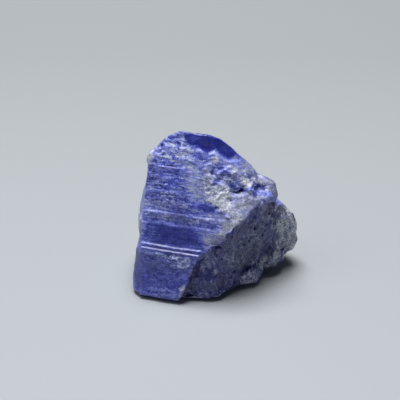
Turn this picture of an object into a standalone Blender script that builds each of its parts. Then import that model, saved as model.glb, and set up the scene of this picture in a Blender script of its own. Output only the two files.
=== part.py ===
"""Rough tanzanite crystal: one natural stone, a striated prism broken across on its right side.

Lengths in this file are in millimetres, measured from the front corner of the foot: X to the right,
Y to the back and Z up from the table. The finished solid is in metres, with its origin at the centre
of its box's bottom.
"""
import math
import random

import bmesh
import bpy
from mathutils import Matrix, Vector, noise
from mathutils.bvhtree import BVHTree

MM = 0.001
SEED = 20
STONE_BLUE = (0.075, 0.09, 0.33, 1.0)
STONE_ROUGHNESS = 0.35

# The striated face: it turns to the left of the front and leans back from the table upwards.
FACE_YAW_DEG = 16.5
FACE_LEAN_DEG = 23.0
FACE_POINT = Vector((-7.93, 3.38, 7.2))      # left end of the deep ledge

# Growth ledges of that face: foot height, top height, stand-out at foot and at top, left X, and
# right X at foot and at top.
LEDGES = (
    (6.35, 7.22, 0.50, 0.50, -7.95, -0.5, -0.1),
    (6.45, 9.95, 0.25, 0.25, -7.9, -0.2, 3.2),
    (9.0, 11.33, 0.14, 0.14, -7.7, 2.4, 3.7),
    (11.9, 12.75, 0.0, 0.08, -6.9, 0.6, -0.6),
    (13.0, 13.95, 0.0, 0.09, -7.2, -2.0, -3.4),
    (14.4, 14.85, 0.0, 0.06, -6.4, -1.2, -1.8),
    (14.9, 15.75, 0.0, 0.10, -6.9, -2.4, -3.8),
    (15.9, 17.01, 0.0, 0.17, -6.1, -1.4, -2.4),
    (16.9, 17.65, 0.0, 0.12, -6.6, -3.0, -4.0),
    (17.7, 18.35, 0.0, 0.16, -6.2, -0.9, -1.6),
    (18.5, 18.95, 0.0, 0.12, -5.2, -2.4, -3.4),
    (19.1, 19.60, 0.0, 0.13, -4.9, -1.4, -2.2),
)
LEDGE_TAPER = 1.3            # length over which a ledge fades out at its right end
LEDGE_ROOT = 1.0             # how far a ledge's slab reaches into the stone

# Lumps of the stone, each the hull of its corners.
LONG_BODY = (
    (2.8, 0.8, 8.5), (4.2, 1.15, 10.4), (5.2, 1.4, 11.0), (6.7, 2.8, 11.9), (8.4, 4.8, 12.8),
    (-6.15, 8.1, 18.9), (-5.4, 8.3, 19.8), (-4.4, 8.45, 20.7), (-2.8, 8.4, 21.5),
    (-1.6, 8.0, 21.5), (0.0, 7.9, 21.25), (1.5, 7.9, 20.95), (2.9, 7.8, 20.4), (4.0, 7.75, 19.6),
    (5.2, 7.75, 18.4), (6.1, 7.7, 17.4), (6.95, 7.7, 16.5), (7.6, 7.5, 15.3),
    (-7.2, 10.4, 14.6), (-8.1, 11.8, 7.0), (-8.3, 10.9, 0.3), (-3.5, 12.4, 16.9), (3.0, 12.3, 15.8),
    (-5.6, 13.2, 8.5), (-5.0, 12.6, 0.2), (6.8, 11.6, 12.6), (8.0, 13.0, 5.5), (0.5, 14.2, 7.4),
)
LONG_FACE_CORNERS = ((-7.95, 6.2), (0.1, 6.2), (-7.55, 12.0), (-6.85, 17.7), (1.0, 16.6), (2.4, 14.2))
FOOT_BLOCK = (
    (-8.1, 1.3, 0.0), (-3.2, 0.0, 0.0), (-8.9, 2.4, 0.0), (-9.0, 3.0, 1.9),
    (-1.25, -0.1, 3.1), (-0.1, 0.02, 6.95), (-7.95, 2.38, 7.0), (-8.65, 4.0, 6.1),
    (-8.7, 9.4, 0.0), (-8.1, 9.4, 4.8), (2.0, 9.0, 0.0), (2.0, 9.0, 6.2),
)
BROKEN_MASS = (
    (0.8, 0.6, 6.9), (2.8, 0.85, 8.4), (4.2, 1.3, 10.2), (5.2, 1.6, 10.8), (6.7, 2.9, 11.7),
    (8.4, 4.9, 12.6), (-2.6, 0.8, 0.0), (1.15, 0.6, 0.0), (2.7, 1.4, 0.0), (4.1, 2.4, 0.2),
    (5.3, 3.4, 0.4), (7.0, 5.0, 0.6), (8.9, 6.2, 1.3), (10.0, 7.3, 2.0), (10.2, 7.4, 10.4),
    (-2.4, 13.2, 0.0), (4.4, 12.6, 0.0), (9.3, 11.8, 2.2), (9.0, 12.2, 8.6),
)
SHOULDER = (
    (7.0, 6.6, 12.2), (7.7, 7.4, 15.2), (8.3, 7.1, 15.1), (9.5, 6.9, 14.7), (10.2, 6.9, 14.2),
    (10.6, 7.1, 12.3), (10.3, 7.0, 11.3), (8.5, 5.0, 12.5), (8.7, 5.3, 13.9), (9.9, 6.0, 13.3),
    (7.6, 10.2, 13.8), (10.0, 9.8, 12.9), (10.1, 9.8, 10.6), (7.4, 9.6, 10.6),
)
RIGHT_LUMP = (
    (11.1, 8.3, 10.1), (12.3, 9.2, 8.6), (13.15, 9.9, 6.75), (13.5, 10.0, 5.5),
    (13.6, 10.0, 3.5), (13.1, 9.5, 2.9), (12.2, 8.9, 2.75), (11.3, 8.0, 2.0), (10.27, 7.0, 1.4),
    (9.0, 6.0, 1.2), (10.3, 6.5, 3.2), (10.7, 6.9, 6.0), (10.5, 7.1, 9.2), (9.6, 7.2, 10.6),
    (12.0, 11.8, 7.6), (12.3, 12.1, 3.6), (9.4, 12.7, 9.6), (9.0, 12.9, 2.2),
)
LOW_LUMP = (
    (5.3, 3.5, 0.45), (6.7, 4.0, 0.3), (7.95, 4.4, 0.25), (8.6, 5.3, 0.4), (9.0, 6.0, 1.2),
    (5.6, 3.2, 2.3), (6.9, 3.5, 2.7), (8.2, 4.6, 2.6), (8.9, 5.8, 2.4), (6.2, 5.6, 3.6),
    (7.6, 6.4, 3.4), (6.0, 6.0, 0.6),
)
UPPER_SLIVER = (
    (-7.3, 8.4, 17.5), (-6.9, 8.5, 18.2), (-6.2, 8.9, 18.7), (-5.9, 10.6, 18.2), (-7.3, 9.8, 16.2),
    (-6.2, 8.0, 16.4), (-7.2, 8.1, 16.9),
)
MIDDLE_SLIVER = (
    (-8.35, 6.0, 9.3), (-8.3, 5.2, 7.5), (-8.1, 5.0, 9.9), (-8.3, 8.8, 9.0), (-8.3, 8.6, 6.4),
    (-7.4, 5.4, 9.4), (-7.6, 4.6, 7.0),
)
LUMPS = (FOOT_BLOCK, BROKEN_MASS, SHOULDER, RIGHT_LUMP, LOW_LUMP, UPPER_SLIVER, MIDDLE_SLIVER)

# Bites out of the stone, each the hull of its corners: the smooth window under the crest, two
# pockets in the rough slope, and notches along the ridge between the long face and the broken one.
WINDOW_LEFT = (
    (-2.0, 7.35, 21.2), (-1.7, 7.2, 20.6), (1.1, 7.0, 18.85), (2.3, 7.15, 19.4), (1.9, 8.1, 21.3),
    (-1.2, 7.9, 21.9), (-1.9, 5.2, 21.6), (-1.6, 5.0, 20.9), (1.1, 4.8, 19.5), (2.9, 5.0, 19.9),
    (1.9, 6.0, 22.4),
)
WINDOW_RIGHT = (
    (0.9, 7.6, 20.9), (1.8, 7.05, 19.2), (3.7, 6.95, 17.8), (5.3, 7.1, 17.75), (7.0, 7.75, 17.4),
    (3.2, 7.95, 20.6), (0.9, 5.6, 21.9), (1.7, 4.9, 20.0), (3.7, 4.8, 18.6), (5.6, 5.0, 18.4),
    (7.6, 5.4, 18.0), (3.4, 5.9, 21.8),
)
LEFT_POCKET = (
    (3.9, 4.4, 15.0), (6.2, 5.6, 14.6), (4.1, 4.2, 14.2), (6.3, 5.4, 13.8), (4.9, 6.3, 14.2),
    (4.0, 2.6, 14.9), (6.6, 3.6, 14.2),
)
RIGHT_POCKET = (
    (7.3, 6.2, 14.4), (8.6, 6.0, 14.2), (7.2, 5.8, 13.5), (8.4, 5.6, 13.3), (7.9, 7.2, 13.7),
    (7.2, 4.2, 14.1), (8.9, 4.6, 13.8),
)
RIDGE_NOTCHES = (
    ((-1.9, -0.5, 3.5), (-0.9, -0.5, 4.4), (-0.3, -0.4, 3.2), (-1.5, 0.5, 3.6), (0.2, 0.6, 3.6)),
    ((-0.1, -0.6, 5.4), (0.8, -0.5, 6.5), (1.1, -0.4, 5.2), (0.1, 0.5, 5.9), (1.2, 0.6, 6.0)),
    ((1.5, 0.0, 8.3), (2.9, 0.0, 8.1), (2.3, 0.1, 7.3), (1.9, 1.2, 8.1), (3.0, 1.4, 7.7)),
    ((4.6, 0.7, 11.3), (5.9, 1.0, 11.9), (5.7, 1.0, 10.9), (5.0, 1.9, 11.3), (6.3, 2.3, 11.2)),
)
BITES = (WINDOW_LEFT, WINDOW_RIGHT, LEFT_POCKET, RIGHT_POCKET) + RIDGE_NOTCHES

# Patches of the stone as they are seen from one side: corners in X and Z, or in Y and Z.
ROUGH_SLOPE = (
    (0.8, 18.4), (3.8, 17.4), (7.0, 15.4), (10.0, 13.9), (10.2, 12.5), (8.2, 12.9), (6.0, 12.2),
    (4.2, 11.9), (1.6, 13.2), (0.2, 14.4), (0.6, 16.0),
)
BROKEN_FACE = (
    (0.2, 0.9), (8.4, 1.4), (12.4, 3.4), (12.8, 6.0), (11.8, 9.0), (10.2, 10.8), (8.2, 11.6),
    (5.8, 10.2), (3.4, 8.0), (0.8, 5.4),
)
BACK = ((-8.0, 1.4), (11.8, 3.2), (11.0, 9.0), (6.0, 14.5), (0.0, 17.0), (-6.0, 14.0))
LEFT_SIDE = ((4.4, 1.6), (10.5, 1.6), (10.5, 11.0), (8.8, 14.0), (6.8, 10.0))

# Broken chunks, then smaller grains, that stand out of a patch or are bitten out of it: count, size
# from and to, stretch along X, Y and Z, share of bites, the side the patch is seen from, the patch.
CHUNK_ZONES = (
    (24, 1.6, 3.2, (1.2, 0.75, 0.8), 0.5, "front", ROUGH_SLOPE),
    (30, 1.8, 3.8, (0.9, 0.65, 1.3), 0.45, "front", BROKEN_FACE),
    (20, 2.8, 5.0, (1.0, 0.8, 1.2), 0.45, "back", BACK),
    (8, 2.0, 3.4, (0.5, 1.4, 0.9), 0.5, "left", LEFT_SIDE),
)
GRAIN_ZONES = (
    (48, 0.8, 1.7, (1.2, 1.0, 0.9), 0.35, "front", ROUGH_SLOPE),
    (38, 0.8, 1.8, (0.8, 0.9, 1.4), 0.4, "front", BROKEN_FACE),
    (12, 1.4, 2.6, (1.1, 0.9, 1.2), 0.4, "back", BACK),
)
LOOKING = {"front": Vector((0, 1, 0)), "back": Vector((0, -1, 0)), "left": Vector((1, 0, 0))}
LOOK_FROM = 50.0             # farther out than any part of the stone
BITE_RISE = 0.22             # how far a bite's centre stays above the surface, as a share of its size
LUMP_SINK = 0.22             # how far a lump's centre lies under it
GRAIN_CORNERS = 9
GRAIN_TURN = 0.5             # largest turn of a grain about X and about Y, in radians

# Everything under this height is cut off flat: the side the stone lies on.
TABLE_HEIGHT = 0.03
TABLE_BLOCK = [(x, y, z) for x in (-20.0, 25.0) for y in (-9.0, 25.0) for z in (-6.0, TABLE_HEIGHT)]

# Weathering: long edges are halved down to a limit, then a smooth field moves the surface.
LONGEST_FLAT_EDGE = 4.0
LONGEST_BROKEN_EDGE = 2.3
HALVINGS = 4
FIELDS = ((4.5, 0.36), (1.7, 0.18))          # grain and depth of each field
FIELD_SHIFTS = (Vector((9.3, -1.5, -7.9)), Vector((0.0, 4.1, 0.0)), Vector((6.3, 0.2, -2.7)))
FLAT_SHARE = 0.2             # share of the fields left on the striated face
FLAT_DEPTH = 0.6             # the striated face counts as flat down to this depth
ROUGH_DEPTH = 2.1            # and everything deeper than this as broken


def new_object(name, bm):
    """An object made from the bmesh, which is freed."""
    mesh = bpy.data.meshes.new(name)
    bm.to_mesh(mesh)
    bm.free()
    obj = bpy.data.objects.new(name, mesh)
    bpy.context.scene.collection.objects.link(obj)
    return obj


def hull(name, corners):
    """A closed convex lump round its corner points."""
    bm = bmesh.new()
    for corner in corners:
        bm.verts.new(corner)
    made = bmesh.ops.convex_hull(bm, input=bm.verts)
    inside = [v for v in made["geom_interior"] if isinstance(v, bmesh.types.BMVert)]
    bmesh.ops.delete(bm, geom=inside, context="VERTS")
    bmesh.ops.recalc_face_normals(bm, faces=bm.faces)
    return new_object(name, bm)


def boolean(target, tools, operation):
    """Join or cut with all the tools at once, then drop them."""
    group = bpy.data.collections.new("tools")
    bpy.context.scene.collection.children.link(group)
    for tool in tools:
        bpy.context.scene.collection.objects.unlink(tool)
        group.objects.link(tool)
        tool.hide_render = True
        tool.display_type = "WIRE"
    modifier = target.modifiers.new(operation.lower(), "BOOLEAN")
    modifier.operation = operation
    modifier.solver = "EXACT"
    modifier.operand_type = "COLLECTION"
    modifier.collection = group
    graph = bpy.context.evaluated_depsgraph_get()
    result = bpy.data.meshes.new_from_object(target.evaluated_get(graph))
    target.modifiers.clear()
    target.data = result
    for tool in tools:
        bpy.data.objects.remove(tool)
    bpy.data.collections.remove(group)


def on_long_face(x, z, out=0.0):
    """The point of the striated face at this X and height, moved out of the stone by `out`."""
    yaw = math.radians(FACE_YAW_DEG)
    lean = math.radians(FACE_LEAN_DEG)
    level = math.cos(lean)
    outward = Vector((-math.sin(yaw) * level, -math.cos(yaw) * level, math.sin(lean)))
    dx = x - FACE_POINT.x
    dz = z - FACE_POINT.z
    y = FACE_POINT.y - (outward.x * dx + outward.z * dz) / outward.y
    return Vector((x, y, z)) + outward * out


def ledge(low, high, out_low, out_high, left, right_low, right_high):
    """One growth ledge: a slab that stands a little out of the long face and tapers away."""
    corners = [
        on_long_face(left, low, out_low), on_long_face(left, high, out_high),
        on_long_face(right_low, low, out_low), on_long_face(right_high, high, out_high),
        on_long_face(right_low + LEDGE_TAPER, low, -0.05),
        on_long_face(right_high + LEDGE_TAPER, high, -0.05),
        on_long_face(left + 0.05, low, -LEDGE_ROOT), on_long_face(left + 0.05, high - 0.03, -LEDGE_ROOT),
        on_long_face(right_low, low, -LEDGE_ROOT), on_long_face(right_high, high - 0.03, -LEDGE_ROOT),
    ]
    return hull("ledge", corners)


def surface_tree(stone):
    """A tree of the stone's faces, to find where a line of sight meets it."""
    bm = bmesh.new()
    bm.from_mesh(stone.data)
    tree = BVHTree.FromBMesh(bm)
    bm.free()
    return tree


def in_patch(u, v, patch):
    """Whether a point lies inside the patch's outline."""
    inside = False
    for (u0, v0), (u1, v1) in zip(patch, patch[1:] + patch[:1]):
        if (v0 > v) != (v1 > v) and u < (u1 - u0) * (v - v0) / (v1 - v0) + u0:
            inside = not inside
    return inside


def grain(rng, centre, size, stretch):
    """A small angular lump: the hull of points scattered over a stretched ball."""
    about_x = Matrix.Rotation(rng.uniform(-GRAIN_TURN, GRAIN_TURN), 3, "X")
    about_y = Matrix.Rotation(rng.uniform(-GRAIN_TURN, GRAIN_TURN), 3, "Y")
    corners = []
    for _ in range(GRAIN_CORNERS):
        way = Vector((rng.gauss(0, 1), rng.gauss(0, 1), rng.gauss(0, 1))).normalized()
        reach = 0.5 * size * rng.uniform(0.8, 1.1)
        local = Vector([reach * w * s for w, s in zip(way, stretch)])
        corners.append(centre + about_x @ about_y @ local)
    return hull("grain", corners)


def scatter_grains(tree, rng, count, small, large, stretch, bites, side, patch):
    """Lumps and bites for one patch, set on the surface found by looking from one side."""
    way = LOOKING[side]
    us = [u for u, v in patch]
    vs = [v for u, v in patch]
    lumps = []
    bitten = []
    while len(lumps) + len(bitten) < count:
        u = rng.uniform(min(us), max(us))
        v = rng.uniform(min(vs), max(vs))
        start = Vector((u, 0, v)) if way.x == 0 else Vector((0, u, v))
        spot, normal, _, _ = tree.ray_cast(start - way * LOOK_FROM, way)
        if not in_patch(u, v, patch) or spot is None:
            continue
        size = rng.uniform(small, large)
        if rng.random() < bites:
            bitten.append(grain(rng, spot + normal * BITE_RISE * size, size, stretch))
        else:
            lumps.append(grain(rng, spot - normal * LUMP_SINK * size, size, stretch))
    return lumps, bitten


def break_up(stone, rng):
    """Roughen the broken patches, large chunks first and small grains on them."""
    for zones in (CHUNK_ZONES, GRAIN_ZONES):
        tree = surface_tree(stone)
        lumps = []
        bitten = []
        for zone in zones:
            zone_lumps, zone_bitten = scatter_grains(tree, rng, *zone)
            lumps += zone_lumps
            bitten += zone_bitten
        boolean(stone, lumps, "UNION")
        boolean(stone, bitten, "DIFFERENCE")


def keep_largest_shell(stone):
    """Drop any crumb or closed pocket that the lumps and bites left loose."""
    bm = bmesh.new()
    bm.from_mesh(stone.data)
    unseen = set(bm.verts)
    shells = []
    while unseen:
        first = unseen.pop()
        shell = {first}
        edge_of_shell = [first]
        while edge_of_shell:
            for edge in edge_of_shell.pop().link_edges:
                for vert in unseen.intersection(edge.verts):
                    unseen.remove(vert)
                    shell.add(vert)
                    edge_of_shell.append(vert)
        shells.append(shell)
    largest = max(shells, key=len)
    spare = [v for v in bm.verts if v not in largest]
    bmesh.ops.delete(bm, geom=spare, context="VERTS")
    bm.to_mesh(stone.data)
    bm.free()


def unevenness(point):
    """FLAT_SHARE on the striated face, rising to 1 on the broken sides."""
    gap = abs(point.y - on_long_face(point.x, max(point.z, FACE_POINT.z)).y)
    rise = (gap - FLAT_DEPTH) / (ROUGH_DEPTH - FLAT_DEPTH)
    return FLAT_SHARE + (1.0 - FLAT_SHARE) * min(1.0, max(0.0, rise))


def longest_edge(edge):
    """The length above which this edge is halved."""
    share = unevenness((edge.verts[0].co + edge.verts[1].co) / 2)
    return LONGEST_FLAT_EDGE + (LONGEST_BROKEN_EDGE - LONGEST_FLAT_EDGE) * share


def uneven(point):
    """A smooth vector field, each part of it between -1 and 1."""
    return Vector([noise.noise(point + shift) for shift in FIELD_SHIFTS])


def weather(stone):
    """Halve long edges and move the surface unevenly; the side on the table stays flat."""
    bm = bmesh.new()
    bm.from_mesh(stone.data)
    bmesh.ops.triangulate(bm, faces=bm.faces)
    for _ in range(HALVINGS):
        long_edges = [e for e in bm.edges if e.calc_length() > longest_edge(e)]
        bmesh.ops.subdivide_edges(bm, edges=long_edges, cuts=1)
        bmesh.ops.triangulate(bm, faces=bm.faces)
    for vert in bm.verts:
        share = unevenness(vert.co)
        move = Vector()
        for size, depth in FIELDS:
            move += uneven(vert.co / size) * depth * share
        move.z *= min(1.0, max(0.0, vert.co.z - TABLE_HEIGHT))
        vert.co += move
    bm.to_mesh(stone.data)
    bm.free()


def stone_material():
    """Deep violet-blue, between glassy and broken."""
    material = bpy.data.materials.new("tanzanite")
    material.use_nodes = True
    shader = material.node_tree.nodes["Principled BSDF"]
    shader.inputs["Base Color"].default_value = STONE_BLUE
    shader.inputs["Roughness"].default_value = STONE_ROUGHNESS
    shader.inputs["Metallic"].default_value = 0.0
    return material


def to_metres(stone):
    """Put the origin at the centre of the box's bottom and scale the mesh to metres."""
    lows = [min(v.co[i] for v in stone.data.vertices) for i in range(3)]
    highs = [max(v.co[i] for v in stone.data.vertices) for i in range(3)]
    base = Vector(((lows[0] + highs[0]) / 2, (lows[1] + highs[1]) / 2, lows[2]))
    stone.data.transform(Matrix.Scale(MM, 4) @ Matrix.Translation(-base))
    print("box in mm:", [round(h - l, 2) for l, h in zip(lows, highs)])
    print("origin in the design's frame, mm:", [round(b, 3) for b in base])


def main():
    for obj in list(bpy.data.objects):
        bpy.data.objects.remove(obj)
    rng = random.Random(SEED)
    long_body = list(LONG_BODY) + [on_long_face(x, z) for x, z in LONG_FACE_CORNERS]
    stone = hull("tanzanite_crystal", long_body)
    solids = [hull("lump", corners) for corners in LUMPS]
    solids += [ledge(*sizes) for sizes in LEDGES]
    boolean(stone, solids, "UNION")
    boolean(stone, [hull("bite", corners) for corners in BITES], "DIFFERENCE")
    break_up(stone, rng)
    boolean(stone, [hull("table", TABLE_BLOCK)], "DIFFERENCE")
    keep_largest_shell(stone)
    weather(stone)
    to_metres(stone)
    stone.data.materials.clear()
    stone.data.materials.append(stone_material())
    print("triangles:", len(stone.data.polygons))


main()
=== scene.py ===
# %% [markdown]
# # A rough tanzanite crystal
#
# The real thing is one broken prism of violet-blue zoisite, about 22 mm wide. One long face still
# carries its growth ledges, the top right broke as smooth as glass, the slope below it is sugary and
# whitish, and the right side is a dull hackly break. Because it is a single stone, the whole model is
# one piece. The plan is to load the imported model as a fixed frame, give its stone a much finer skin,
# carve the small relief into that skin with arrays of numbers, paint the zones as masks on the
# vertices, and let one node material turn the masks into colour, gloss and depth.

# %% Load the frame
import itertools
import math

import bmesh
import bpy
import numpy as np
from mathutils import Matrix, Vector


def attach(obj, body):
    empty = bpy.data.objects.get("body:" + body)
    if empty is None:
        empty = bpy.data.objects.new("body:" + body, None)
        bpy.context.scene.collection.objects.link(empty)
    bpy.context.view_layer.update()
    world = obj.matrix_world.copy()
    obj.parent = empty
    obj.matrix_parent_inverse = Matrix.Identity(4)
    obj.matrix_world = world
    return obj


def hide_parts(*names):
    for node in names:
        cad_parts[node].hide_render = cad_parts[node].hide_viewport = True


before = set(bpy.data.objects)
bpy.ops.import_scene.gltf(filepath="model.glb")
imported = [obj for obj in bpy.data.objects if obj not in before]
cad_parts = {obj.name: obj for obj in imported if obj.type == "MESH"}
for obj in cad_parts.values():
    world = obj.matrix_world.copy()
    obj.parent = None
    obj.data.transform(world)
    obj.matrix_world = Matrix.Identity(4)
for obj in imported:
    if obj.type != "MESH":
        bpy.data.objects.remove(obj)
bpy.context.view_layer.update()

MM = 0.001

# %% [markdown]
# ## Working in millimetres from the foot
#
# A stone 22 mm wide is hard to think about in metres. All shapes below are given in millimetres from
# the front corner of the foot: X to the right, Y to the back and Z up from the table. The packed
# model's origin is at the centre of its box's bottom instead, so one fixed offset joins the two.

# %% The offset between the two origins
FOOT_TO_ORIGIN = Vector((2.254, 7.229, 0.03))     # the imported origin, measured from the foot corner
packed_to_foot = Matrix.Translation(FOOT_TO_ORIGIN) @ Matrix.Scale(1 / MM, 4)
foot_to_packed = packed_to_foot.inverted()
print("packed origin, mm from the foot corner:", tuple(FOOT_TO_ORIGIN))


def coordinates(mesh, kind="vertices", field="co"):
    """The vectors of a mesh's vertices, as one array with a row for each."""
    items = getattr(mesh, kind)
    values = np.zeros(len(items) * 3)
    items.foreach_get(field, values)
    return values.reshape(-1, 3)


# %% [markdown]
# ## A finer skin
#
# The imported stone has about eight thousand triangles, which is right for its large forms. Sugary grain
# and growth lines are a tenth of a millimetre and up, so they need a finer mesh. Subdividing would keep
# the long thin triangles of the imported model. Blender's voxel remesh gives even squares everywhere
# instead, so a carved line looks the same wherever it runs. It also melts overlapping bodies into one,
# which is used here to fill a thin slit at the back of the base with a rounded chunk.

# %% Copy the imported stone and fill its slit
CHUNK_MIDDLE = (-2.3, 11.2, 1.15)
CHUNK_HALF = (1.5, 1.9, 1.05)                     # its half sizes along X, Y and Z

packed_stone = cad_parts["tanzanite_crystal"]
skin = packed_stone.data.copy()
skin.transform(packed_to_foot)
bodies = bmesh.new()
bodies.from_mesh(skin)
chunk_place = Matrix.LocRotScale(Vector(CHUNK_MIDDLE), None, Vector(CHUNK_HALF))
bmesh.ops.create_icosphere(bodies, subdivisions=4, radius=1.0, matrix=chunk_place)
bodies.to_mesh(skin)
bodies.free()
stone = bpy.data.objects.new("tanzanite_stone", skin)
bpy.context.scene.collection.objects.link(stone)
print("points before the remesh:", len(skin.vertices))

# %% Remesh the copy
SKIN_CELL = 0.095                                 # mm between neighbouring points of the skin


def apply_modifiers(obj):
    """Swap the object's mesh for the one its modifiers make."""
    graph = bpy.context.evaluated_depsgraph_get()
    made = bpy.data.meshes.new_from_object(obj.evaluated_get(graph))
    obj.modifiers.clear()
    obj.data = made


remesh = stone.modifiers.new("even skin", "REMESH")
remesh.mode = "VOXEL"
remesh.voxel_size = SKIN_CELL
apply_modifiers(stone)
print("skin points:", len(stone.data.vertices))

# %% [markdown]
# ## Two kinds of repeatable roughness
#
# Nearly all of the relief comes from two fields. Soft noise swells and sinks smoothly and serves for
# warps, clouds and ripples. The facet field scatters seeds, gives each a small tilted plane, and keeps
# the highest plane at each point: that is how a broken crystal looks, flat bits that meet in creases.
# Both read one block of numbers with a fixed seed, so the stone is the same on every run.

# %% Soft noise
BLOCK = 64                                        # the block of random numbers is this long each way
SEED = 11
SALT_STEP = np.array((17, 29, 41))                # how far each salt shifts a field inside the block
block_of_numbers = np.random.default_rng(SEED).random((BLOCK, BLOCK, BLOCK))


def cell_number(cells, salt):
    """A number from 0 to 1 for each whole-number cell."""
    x, y, z = np.moveaxis((cells + salt * SALT_STEP) % BLOCK, -1, 0)
    return block_of_numbers[x, y, z]


def soft_noise(points, salt):
    """Smooth values from -1 to 1 that change over about one unit."""
    base = np.floor(points).astype(int)
    part = points - base
    part = part * part * (3 - 2 * part)
    total = np.zeros(len(points))
    for corner in itertools.product((0, 1), repeat=3):
        weight = np.prod(np.where(corner, part, 1 - part), axis=-1)
        total += weight * cell_number(base + corner, salt)
    return 2 * total - 1


def layered_noise(points, salt):
    """Three layers of soft noise, each finer and weaker than the last, from about -1 to 1."""
    total = np.zeros(len(points))
    for layer in range(3):
        total += soft_noise(points * 2 ** layer, salt + layer) / 2 ** layer
    return total / 1.5


def pushes(points, size, salt):
    """A soft push along X, Y and Z at each point, to bend a pattern with."""
    return np.stack([layered_noise(points / size, salt + axis) for axis in range(3)], -1)


print("random numbers in the block:", block_of_numbers.size)

# %% Facets
ROUNDNESS = 0.75                                  # how much a facet bulges; 0 would be a flat plane


def facets(points, tilt, salt):
    """The height of small tilted planes round scattered seeds, the highest one at each point."""
    base = np.floor(points).astype(int)
    best = np.full(len(points), -np.inf)
    for step in itertools.product((-1, 0, 1), repeat=3):
        cell = base + step
        spot = np.stack([cell_number(cell, salt + k) for k in range(3)], -1)
        lean = np.stack([cell_number(cell, salt + k) for k in range(3, 6)], -1) * 2 - 1
        away = points - cell - spot
        height = (away * lean).sum(-1) * tilt - ROUNDNESS * (away * away).sum(-1)
        best = np.maximum(best, height + cell_number(cell, salt + 6) * 0.5)
    return best


def grains(points, size, stretch, tilt, salt):
    """Small proud facets of one size in mm, longer along each axis by its stretch."""
    height = facets(points / (size * np.array(stretch)), tilt, salt) * size
    return height - height.mean()


def scoops(points, size, stretch, tilt, salt):
    """The same turned inside out: shallow bites that meet in sharp ridges."""
    return -grains(points, size, stretch, tilt, salt)


# %% A soft step, used wherever one thing fades into another
def ramp(values, low, high):
    """0 below low, 1 above high, and smooth between; low may be the larger."""
    share = np.clip((values - low) / (high - low), 0, 1)
    return share * share * (3 - 2 * share)


print("a soft step at a quarter, half and three quarters:", ramp(np.array((0.25, 0.5, 0.75)), 0, 1))

# %% [markdown]
# ## Where things are on the stone
#
# Zones are drawn on one slanted front view, half above the stone, from which every important face is
# seen: `across` is X and `up` runs up that view, both in millimetres. A zone is either an outline or a
# few soft ovals. Whatever looks away from that view gets its own rule, since an outline would
# otherwise be stamped straight through to the back.

# %% The slanted view and its zones
VIEW_SLOPE = math.radians(30)
TO_VIEWER = np.array((0, -math.cos(VIEW_SLOPE), math.sin(VIEW_SLOPE)))
UP_VIEW = np.array((0, math.sin(VIEW_SLOPE), math.cos(VIEW_SLOPE)))

# The ridge between the lit long face and the dull break, from the foot up to the shoulder.
RIDGE = ((-3.4, -0.4), (-2.5, 0.9), (-1.5, 2.9), (-0.8, 4.5), (-0.1, 6.0), (0.8, 6.5),
         (1.4, 7.4), (2.9, 7.8), (3.5, 8.8), (4.2, 9.6), (5.2, 10.3), (6.2, 11.1), (6.7, 11.9),
         (7.4, 12.7), (8.4, 13.4), (10.3, 13.3), (12.0, 13.0))
# The smooth window under the crest.
WINDOW = ((-2.2, 22.8), (-2.1, 21.8), (-1.8, 21.1), (-0.9, 20.6), (0.3, 20.1), (1.05, 19.5), (2.05, 20.3),
          (2.6, 19.7), (3.5, 19.0), (4.3, 18.9), (5.0, 19.5), (6.0, 19.2), (7.0, 19.6), (5.0, 23.0),
          (1.0, 24.0))
NEVER_ZERO = 1e-12                                # keeps a level edge from dividing by nothing
OVAL_RIM = (1.25, 0.45)                           # an oval fades in between these shares of its half size


def on_view(points):
    """Across and up on the slanted view, for each point."""
    return np.stack([points[:, 0], points @ UP_VIEW], -1)


def beside_line(flat, line):
    """Distance from a bent line, above 0 on its right as it runs."""
    nearest = np.full(len(flat), np.inf)
    side = np.zeros(len(flat))
    for start, end in zip(line, line[1:]):
        run = np.subtract(end, start)
        away = flat - start
        share = np.clip(away @ run / (run @ run), 0, 1)
        gap = away - share[:, None] * run
        distance = np.hypot(*gap.T)
        closer = distance < nearest
        nearest = np.where(closer, distance, nearest)
        turn = run[1] * away[:, 0] - run[0] * away[:, 1]
        side = np.where(closer, np.sign(turn), side)
    return nearest * side


def inside_outline(flat, outline):
    """Distance inside a closed outline, below 0 outside it."""
    edge = beside_line(flat, outline + outline[:1])
    inside = np.zeros(len(flat), bool)
    for (u0, v0), (u1, v1) in zip(outline, outline[1:] + outline[:1]):
        spans = (v0 > flat[:, 1]) != (v1 > flat[:, 1])
        crossing = (u1 - u0) * (flat[:, 1] - v0) / (v1 - v0 + NEVER_ZERO) + u0
        inside ^= spans & (flat[:, 0] < crossing)
    return np.abs(edge) * np.where(inside, 1, -1)


def ovals(flat, patches, wobble):
    """The strongest of some soft ovals: across, up, half width, half height, turn in degrees, strength."""
    best = np.zeros(len(flat))
    for across, up, wide, high, turn, strength in patches:
        c, s = math.cos(math.radians(turn)), math.sin(math.radians(turn))
        away = flat - (across, up)
        along = (away[:, 0] * c + away[:, 1] * s) / wide
        over = (-away[:, 0] * s + away[:, 1] * c) / high
        best = np.maximum(best, strength * ramp(np.hypot(along, over) + wobble, *OVAL_RIM))
    return best


print("corners of the ridge and of the window:", len(RIDGE), len(WINDOW))

# %% [markdown]
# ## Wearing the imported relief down
#
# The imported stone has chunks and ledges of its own, a little too bold to be the last word. Its skin is
# drawn towards the average of its surroundings, which keeps the forms and wears down the bumps, so that
# the finer relief below is what the eye sees. More rounds wear more: a few are enough for the front, the
# back takes more, and some deep pits and sharp slabs are worn right down. The strong ledge on top of the
# foot stays crisp.

# %% Averages over the skin
def neighbours(mesh):
    """The two ends of every edge, as two columns."""
    ends = np.zeros(len(mesh.edges) * 2, int)
    mesh.edges.foreach_get("vertices", ends)
    return ends.reshape(-1, 2)


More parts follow.
